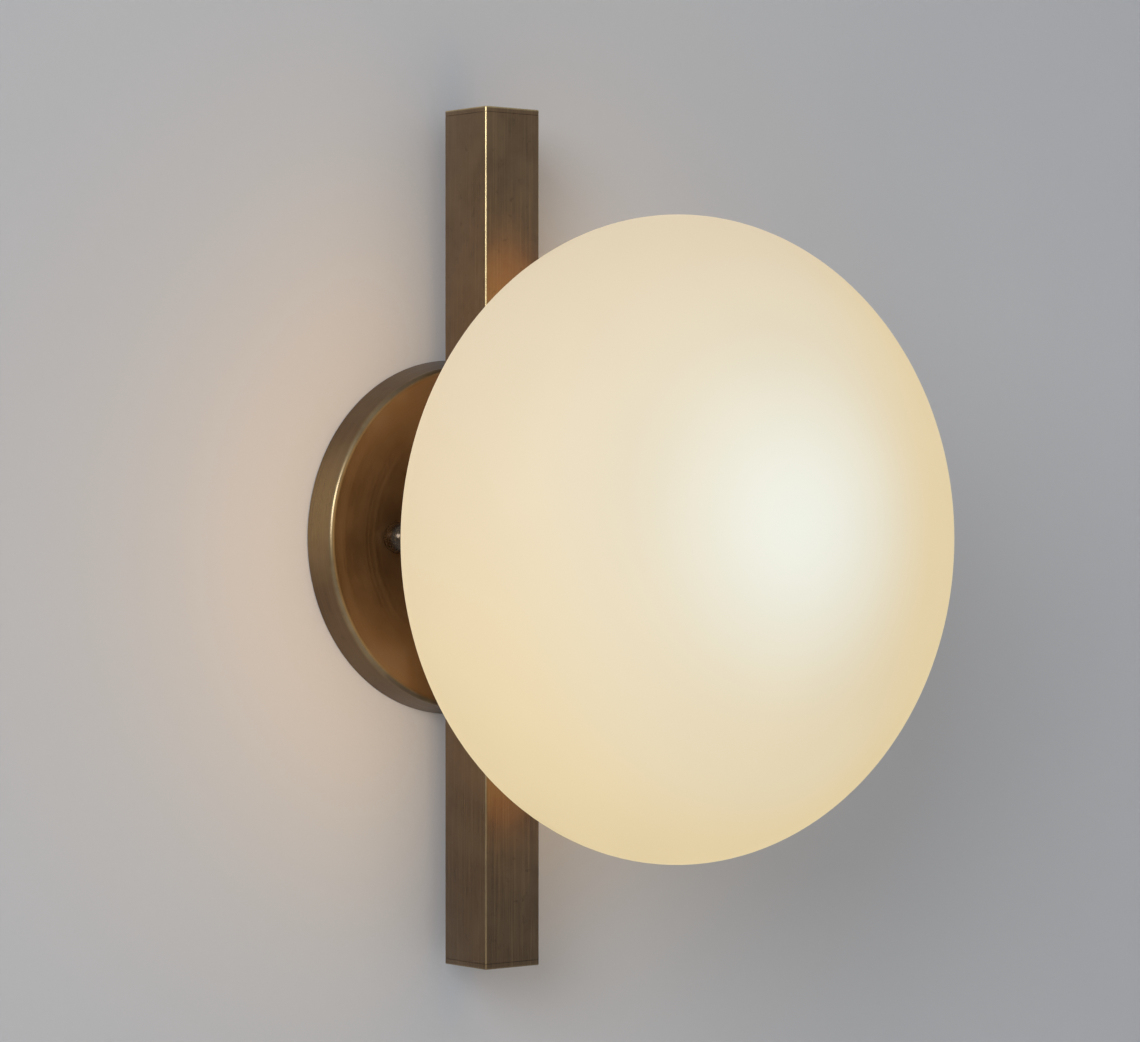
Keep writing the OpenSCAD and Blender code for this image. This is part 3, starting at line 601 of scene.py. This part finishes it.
def bar_plug():
    """The top plug: a plate on the tube's end, rounded all round, with a spigot pressed into the tube."""
    seam, top = 0.03, 157.5
    plug = block((-bar_half, -bar_front, tube_end + seam), (bar_half, -bar_back, top))
    bpy.ops.object.mode_set(mode="EDIT")
    bpy.ops.mesh.select_mode(type="FACE")
    bpy.ops.mesh.select_all(action="DESELECT")
    bpy.ops.object.mode_set(mode="OBJECT")
    for face in plug.data.polygons:
        face.select = face.normal.z < -0.5
    bpy.ops.object.mode_set(mode="EDIT")
    bpy.ops.mesh.inset(thickness=2.075 * mm)
    bpy.ops.mesh.extrude_region_move(TRANSFORM_OT_translate={"value": (0, 0, -7 * mm)})
    bpy.ops.transform.resize(value=(0.985, 0.985, 1), center_override=(0, -0.024, 0.15))
    bpy.ops.mesh.select_mode(type="VERT")
    bpy.ops.object.mode_set(mode="OBJECT")
    rounded_edges(plug, bar_corner, 5, lambda a, b: upright(a, b) and min(a.z, b.z) > tube_end)
    rounded_edges(plug, 0.35, 3, lambda a, b: min(a.z, b.z) > top - 0.1)
    return smooth(plug, 30)


for name, node, over in (("bar_plug_top", "bar_cap_top", 0), ("bar_plug_bottom", "bar_cap_bottom", math.pi)):
    plug = settled(bar_plug(), turn=(0, over, 0))
    plug.name = plug.data.name = name
    fitted(plug, brushed_brass, "antique_brass", "frame", node)


# Bar screws and sleeve. Two pan head screws from inside the canopy stop the bar from turning, and a steel
# sleeve in the bar takes the clamping force of the stem.
def screw(shank, head, tip, seat, face, pitch, recess):
    """A screw along Y, in mm: its threaded shank from tip to seat, and its pan head from seat to face."""
    start, end = min(tip, seat), max(tip, seat)
    rod = settled(threaded_rod("shank", shank, start, end, pitch, pitch * 0.5), turn=outwards)
    thick = seat - face
    top = turned("pan_head", [
        (0, seat), (head, seat), (head, face + thick * 0.45), (head * 0.9, face + thick * 0.14),
        (head * 0.72, face), (0, face),
    ], 48)
    for turn in recess:
        reach = head + 1 if len(recess) == 1 else head * 0.6
        if thick > 0:
            low, high = -face - 0.9, -face + 1
        else:
            low, high = -face - 1, -face + 0.9
        slot = settled(block((-reach, low, -0.5), (reach, high, 0.5)), turn=(0, turn, 0))
        cut_by(top, slot)
    return smooth(joined("screw", [top, rod]), 30)


fixing_screws = []
for z in (-screw_z, screw_z):
    fixing_screws.append(settled(screw(2.0, 3.4, 14.5, 10.3, 8.3, 0.7, (0, math.pi / 2)), (0, 0, z)))
fitted(joined("bar_fixing_screws", fixing_screws), zinc, "zinc_steel", "frame", "bar_screws")
dress(cad["bar_sleeve"], zinc)

# Cap nuts. Two domed brass nuts with knurled skirts, on the studs, hold the canopy and turn by hand.
fine_brass = antique_brass("antique_brass_fittings", "fine", gloss=0.3, depth=0.2)


def drawn_in(piece, share, chosen):
    """Draws the chosen points in towards the piece's own axis, which is still the Y axis."""
    picked(piece)
    bpy.ops.object.mode_set(mode="EDIT")
    bpy.ops.mesh.select_all(action="DESELECT")
    bpy.ops.object.mode_set(mode="OBJECT")
    for point in piece.data.vertices:
        out = math.hypot(point.co.x, point.co.z) / mm
        round_it = math.atan2(point.co.z, point.co.x) / (2 * math.pi)
        point.select = chosen(out, -point.co.y / mm, round_it)
    bpy.ops.object.mode_set(mode="EDIT")
    bpy.ops.transform.resize(value=(share, 1, share), center_override=(0, 0, 0))
    bpy.ops.object.mode_set(mode="OBJECT")
    return piece


def cap_nut(name):
    nut = turned(name, closed([
        (2.3, 11.5), (5.05, 11.5), (5.29, 11.7), (5.29, 12.45), (5.62, 12.56), (5.75, 12.75), (5.75, 14.3),
        (5.62, 14.5), *arc(0, 14.549, 5.751, 6, 90, 14), (0, 18.9), (2.05, 18.1), (2.05, 11.75),
    ]), 96)
    drawn_in(nut, 0.965, lambda r, d, a: r > 5.6 and 12.5 < d < 14.4 and round(a * 96) % 2 == 0)
    return smooth(nut, 40)


for side, x in (("left", -stud_x), ("right", stud_x)):
    nut = settled(cap_nut("cap_nut_" + side[0]), (x, 0, 0))
    fitted(nut, fine_brass, "antique_brass", "nut_" + side, "cap_nut_" + side)


# Stem. A hollow threaded nipple of zinc plated steel clamps canopy, bar, collar and cup between two hexagon
# brass nuts. The earth tag sits under the rear nut, and a steel washer under the front one.
def bare_brass(name, grain=900.0):
    """Bright brass, a little tarnished."""
    made, tree, shader = finish(name, 0.28, 1.0)
    at = place(tree)
    tarnish = between(tree, noise(tree, at, 60.0, 4.0, 0.6), 0.35, 0.7)
    tint(tree, shader, tarnish, (0.76, 0.56, 0.25), (0.58, 0.38, 0.15))
    feed(tree, shader.inputs["Roughness"], between(tree, noise(tree, at, 400.0), 0.3, 0.7, 0.2, 0.36))
    bump(tree, shader, noise(tree, at, grain), 0.00003, 0.4)
    return made


bright_brass = bare_brass("yellow_brass")
nipple = settled(threaded_rod("nipple", 5.0, 6.8, 59.3, 1.0, 0.55), turn=outwards)
nipple = smooth(cut_by(nipple, post(3.5, 0, 70)), 25)
fitted(joined("stem", [nipple]), zinc, "zinc_steel", "frame", "threaded_nipple")
for node, back, front in (("rear_nut", 7.4, 9.6), ("front_nut", 54.2, 57.2)):
    nut = joined("stem_" + node, [hexagon_nut(14, 5.0, back, front)])
    fitted(nut, bright_brass, "yellow_brass", "frame", node)
dress(cad["earth_tag"], bright_brass)
dress(cad["front_washer"], zinc)

# Collar, cup and gasket. The collar is turned from brass bar, and the cup is spun from sheet with three
# soldered bosses; both are toned. A pale silicone ring in the cup seats the glass.
turned_brass = antique_brass("antique_brass_turned", "turned")
dress(cad["standoff_collar"], turned_brass)
dress(cad["gallery_cup"], turned_brass)
silicone, tree, shader = finish("silicone", 0.6)
tint(tree, shader, noise(tree, place(tree), 120.0), (0.70, 0.70, 0.67), (0.78, 0.78, 0.75))
bump(tree, shader, noise(tree, place(tree), 600.0), 0.00008, 0.4)
dress(cad["neck_gasket"], silicone)


# Thumbscrews. Three brass screws with knurled heads grip the neck of the glass through the cup's bosses.
def thumbscrew(name):
    head = turned(name, [
        (0, 47.3), (3.15, 47.3), (3.15, 48.15), (3.9, 48.3), (4.5, 48.85), (4.5, 53.1), (3.8, 53.8),
        (1.6, 53.8), (1.2, 53.5), (0, 53.5),
    ], 80)
    drawn_in(head, 0.95, lambda r, d, a: r > 4.4 and round(a * 80) % 2 == 0)
    settled(head, turn=(-math.pi / 2, 0, 0))
    return smooth(joined(name, [head, threaded_rod("shank", 2.0, 41.3, 47.3, 0.7, 0.36)]), 30)


thumb_depth = 61.7787
for side, angle in (("top", 0), ("left", -120), ("right", 120)):
    made = settled(thumbscrew("thumb_" + side), (0, -thumb_depth, 0), (0, math.radians(angle), 0))
    fitted(made, fine_brass, "antique_brass", "screw_" + side, "thumbscrew_" + side)

# Holder strap. A zinc plated strap on the stem, with two pan head screws into the foot of the lampholder.
dress(cad["holder_strap"], zinc)
strap_screws = []
strap_z = 17
for z in (-strap_z, strap_z):
    strap_screws.append(settled(screw(1.5, 2.85, 66.7, 57.2, 55.6, 0.5, (0,)), (0, 0, z)))
fitted(joined("strap_screws", strap_screws), zinc, "zinc_steel", "frame", "holder_screws")

# Lampholder. Glazed ceramic with a wiring room behind and a rolled brass screw shell in front. Wires are
# clamped under its two terminals, and a rivet through the web is the middle contact.
ceramic, tree, shader = finish("ceramic", 0.12)
glaze = noise(tree, place(tree), 70.0, 3.0)
tint(tree, shader, glaze, (0.78, 0.76, 0.70), (0.84, 0.82, 0.77))
bump(tree, shader, noise(tree, place(tree), 150.0, 2.0), 0.0002, 0.25)
shader.inputs["Coat Weight"].default_value = 0.5
shader.inputs["Coat Roughness"].default_value = 0.05
holder = turned("ceramic_holder", closed([
    (13.5, 58.7), (20.4, 58.7), (21, 59.3), (21, 65.4), (20.6, 65.8), (20.6, 66.8), (21, 67.2), (21, 73.2),
    (20.7, 74.0), (18.3, 76.4), (18, 77.2), (18, 95.1), (17.2, 95.9), (14.6, 95.9), (13.95, 95.3),
    (13.95, 68.2), (1.6, 68.2), (1.6, 65.7), (13.5, 65.7),
]), 128)
for z in (-strap_z, strap_z):
    cut_by(holder, post(1.5, 50, 67.7, 0, z, 24))
fitted(smooth(holder, 30), ceramic, "ceramic", "frame", "holder_body")
for node in ("holder_shell", "holder_contact", "holder_terminals"):
    dress(cad[node], bright_brass)

# Lamp. A frosted glass globe on a white housing that holds the driver, with a nickel plated screw cap, a
# black glass insulator and a tip contact. It is lit.
frosted, tree, shader = finish("lamp_globe", 0.55, 0.0, (0.5, 0.48, 0.44))
_, y, _ = parted(tree, place(tree))
alight = blended(tree, between(tree, y, -0.12, -0.165), (0.86, 0.70, 0.46, 1), (1.0, 0.90, 0.70, 1))
feed(tree, shader.inputs["Emission Color"], alight)
shader.inputs["Emission Strength"].default_value = 0.8
dress(cad["bulb_globe"], frosted)

white_plastic, tree, shader = finish("lamp_white", 0.42)
tint(tree, shader, noise(tree, place(tree), 30.0), (0.78, 0.77, 0.74), (0.82, 0.81, 0.79))
bump(tree, shader, noise(tree, place(tree), 1400.0, 2.0), 0.00005, 0.4)
dress(cad["bulb_housing"], white_plastic)

nickel, tree, shader = finish("nickel", 0.2, 1.0)
tint(tree, shader, noise(tree, place(tree), 90.0), (0.66, 0.63, 0.58), (0.74, 0.72, 0.68))
feed(tree, shader.inputs["Roughness"], between(tree, noise(tree, place(tree), 350.0), 0.3, 0.7, 0.14, 0.28))
dress(cad["bulb_cap"], nickel)
dress(cad["bulb_contact"], nickel)

black_glass, tree, shader = finish("black_glass", 0.12)
tint(tree, shader, noise(tree, place(tree), 300.0), (0.012, 0.012, 0.014), (0.028, 0.027, 0.03))
dress(cad["bulb_insulator"], black_glass)


# Glass. One large flattened ball of opal glass, mouth blown into a mould, with a straight neck that the cup
# holds. The lamp behind it makes its front the brightest, and its colour warmer towards the edge.
def oval_point(half_width, half_depth, t):
    return Vector((half_width * math.cos(t), half_depth * math.sin(t)))


def blown_line(half_width, half_depth, middle, neck, fillet, end, steps):
    """Outline from the oval's front round to the neck's end, with a hollow arc where body and neck meet."""
    def arc_middle(t):
        square_to = Vector((math.cos(t) / half_width, math.sin(t) / half_depth)).normalized()
        return oval_point(half_width, half_depth, t) + fillet * square_to

    low, high = -math.pi / 2, 0.0
    for _ in range(40):
        mid = (low + high) / 2
        low, high = (low, mid) if arc_middle(mid).x > neck + fillet else (mid, high)
    front = math.pi / 2
    body = [oval_point(half_width, half_depth, front + (low - front) * i / steps) for i in range(steps + 1)]
    centre = arc_middle(low)
    lean = math.degrees(math.atan2(body[-1].y - centre.y, body[-1].x - centre.x)) % 360
    bend = arc(centre.x, centre.y, fillet, lean, 180, 8)[1:]
    line = [(max(p[0], 0.0), middle + p[1]) for p in [*body, *bend]]
    return [*line, (neck, end)]


glass_half, glass_deep, glass_middle, glass_wall = 112.5, 66.0, 134.0, 3.0
neck, neck_bend, neck_end, lip_end, lip_round = 41.0, 4.0, 55.9, 55.5, 0.4
outside = blown_line(glass_half, glass_deep, glass_middle, neck, neck_bend, neck_end, 72)
inside = blown_line(
    glass_half - glass_wall, glass_deep - glass_wall, glass_middle, neck - glass_wall, neck_bend + glass_wall,
    neck_end, 72,
)
lip = [(neck - lip_round, lip_end), (neck - glass_wall + lip_round, lip_end)]
glass = turned("opal_shade", [*outside, *lip, *reversed(inside)], 160)

opal, tree, shader = finish("opal_glass", 0.5, 0.0, (0.26, 0.24, 0.21))
at = place(tree)
x, y, z = parted(tree, at)
out = off_axis(tree, x, z)
# The glow is painted warmer and deeper in colour towards the bottom and on the right side: painted shade, where
# the cool daylight from above and from the left falls less.
rim_glow_shaded = blended(tree, between(tree, z, -0.09, 0.09), (0.62, 0.48, 0.24, 1), (0.56, 0.45, 0.285, 1))
side_glow_shaded = blended(tree, between(tree, z, -0.09, 0.06), (0.605, 0.505, 0.315, 1), (0.585, 0.505, 0.345, 1))
rounded = blended(tree, between(tree, out, 0.112, 0.075), rim_glow_shaded, side_glow_shaded)
rounded = blended(tree, between(tree, x, 0.01, 0.075, 0.0, 0.7), rounded, (0.63, 0.485, 0.235, 1))
before_lamp, lit_radius = (-0.008, -0.2, 0.006), 0.078
off_middle = add(tree, "VectorMath", {0: at, 1: before_lamp}, operation="DISTANCE").outputs["Value"]
lit = blended(tree, between(tree, off_middle, lit_radius, 0.0), rounded, (0.68, 0.70, 0.62, 1))
lit = blended(tree, between(tree, y, -0.122, -0.075), lit, (0.84, 0.63, 0.36, 1))
cloudy = between(tree, noise(tree, at, 14.0, 2.0), 0.3, 0.7, 0.985, 1.015)
feed(tree, shader.inputs["Emission Color"], blended(tree, 1.0, lit, cloudy, "MULTIPLY"))
shader.inputs["Emission Strength"].default_value = 1.0
shader.inputs["Specular IOR Level"].default_value = 0.25
feed(tree, shader.inputs["Roughness"], between(tree, noise(tree, at, 25.0), 0.3, 0.7, 0.46, 0.54))
bump(tree, shader, noise(tree, at, 9.0, 1.0), 0.0008, 0.2)
fitted(glass, opal, "opal_glass", "shade", "glass_shade")


# Earth connection. A green dyed screw in the plate clamps the bare end of the earth wire, which is soldered
# to the tag on the stem.
def coat_of(name, tone, roughness, grain=500.0):
    """Moulded or dyed: nearly one colour, with a faint cloud and a fine grain."""
    made, tree, shader = finish(name, roughness)
    at = place(tree)
    tint(tree, shader, noise(tree, at, 90.0), tuple(c * 0.82 for c in tone), tone)
    bump(tree, shader, noise(tree, at, grain), 0.00005, 0.4)
    return made


def wire(name, corners, bend, radius):
    """A wire through its corners in mm, each rounded to the stated bend: a line that gets a round section."""
    path = pointed()
    path.name = path.data.name = name
    drawn([Vector(c) * mm for c in corners])
    bpy.ops.object.mode_set(mode="OBJECT")
    for before, corner, after in zip(corners, corners[1:], corners[2:]):
        turn = (Vector(corner) - Vector(before)).angle(Vector(after) - Vector(corner))
        bpy.ops.object.mode_set(mode="EDIT")
        bpy.ops.mesh.select_all(action="DESELECT")
        bpy.ops.object.mode_set(mode="OBJECT")
        for point in path.data.vertices:
            point.select = (point.co - Vector(corner) * mm).length < 1e-6
        bpy.ops.object.mode_set(mode="EDIT")
        bpy.ops.mesh.bevel(offset=bend * math.tan(turn / 2) * mm, segments=10, affect="VERTICES")
        bpy.ops.object.mode_set(mode="OBJECT")
    bpy.ops.object.convert(target="CURVE")
    path = bpy.context.object
    path.data.bevel_depth = radius * mm
    path.data.bevel_resolution = 5
    path.data.use_fill_caps = True
    bpy.ops.object.convert(target="MESH")
    return smooth(bpy.context.object, 50)


green = coat_of("green_screw", (0.05, 0.28, 0.12), 0.3)
green.node_tree.nodes["Principled BSDF"].inputs["Metallic"].default_value = 0.7
earth_screw = settled(screw(2.0, 4.0, 0.2, 4.0, 5.8, 0.7, (math.pi / 5,)), (21.92, 0, -21.92))
earth_screw.name = earth_screw.data.name = "earth_screw"
fitted(earth_screw, green, "green_screw", "frame", "ground_screw")
aslant, wire_radius = math.radians(45), 0.9
earth_route = [(13, -9.6, 0), (13, -3, 0), (23, -3, 3), (35, -3, 3)]
earth = settled(wire("earth_wire", earth_route, 2.43, wire_radius), turn=(0, aslant, 0))
fitted(earth, coat_of("wire_green", (0.07, 0.30, 0.12), 0.35), "wire_green", "frame", "earth_lead")

# Leads and connectors. The lampholder's two wires run through the stem, and each is joined to the house
# wiring under a twist-on connector of orange plastic, fluted for the fingers.
orange = coat_of("connector_orange", (0.72, 0.24, 0.04), 0.38, 900.0)
route = [(6.5, -62.4, 0), (1.7, -62.4, 0), (1.7, -4.235, 0), (6.5, -5.9, 14), (20.7, -5.9, 14)]
for side, slot, tone, over in (
    ("live", "wire_black", (0.022, 0.022, 0.023), 0), ("neutral", "wire_white", (0.74, 0.74, 0.71), math.pi),
):
    lead = settled(wire("lead_wire_" + side, route, 2.7, wire_radius), turn=(0, over, 0))
    fitted(lead, coat_of(slot, tone, 0.4), slot, "frame", "lead_" + side)
    connector = turned("twist_connector_" + side, closed([
        (2.7, 0), (3.35, 0), (3.6, 0.25), (3.6, 5.6), (3.35, 5.95), (3.1, 6.05), (2.32, 16.5), (1.9, 17),
        (0, 17), (0, 8), (1.78, 8), (1.78, 4.4), (2.7, 4.4),
    ]), 72)
    drawn_in(connector, 0.9, lambda r, d, a: r > 2.3 and d > 6 and round(a * 72) % 6 in (0, 1, 2))
    settled(connector, (13, -5.9, 14), (0, 0, math.pi / 2))
    settled(connector, turn=(0, over, 0))
    fitted(smooth(connector, 30), orange, "connector_orange", "frame", "wire_nut_" + side)
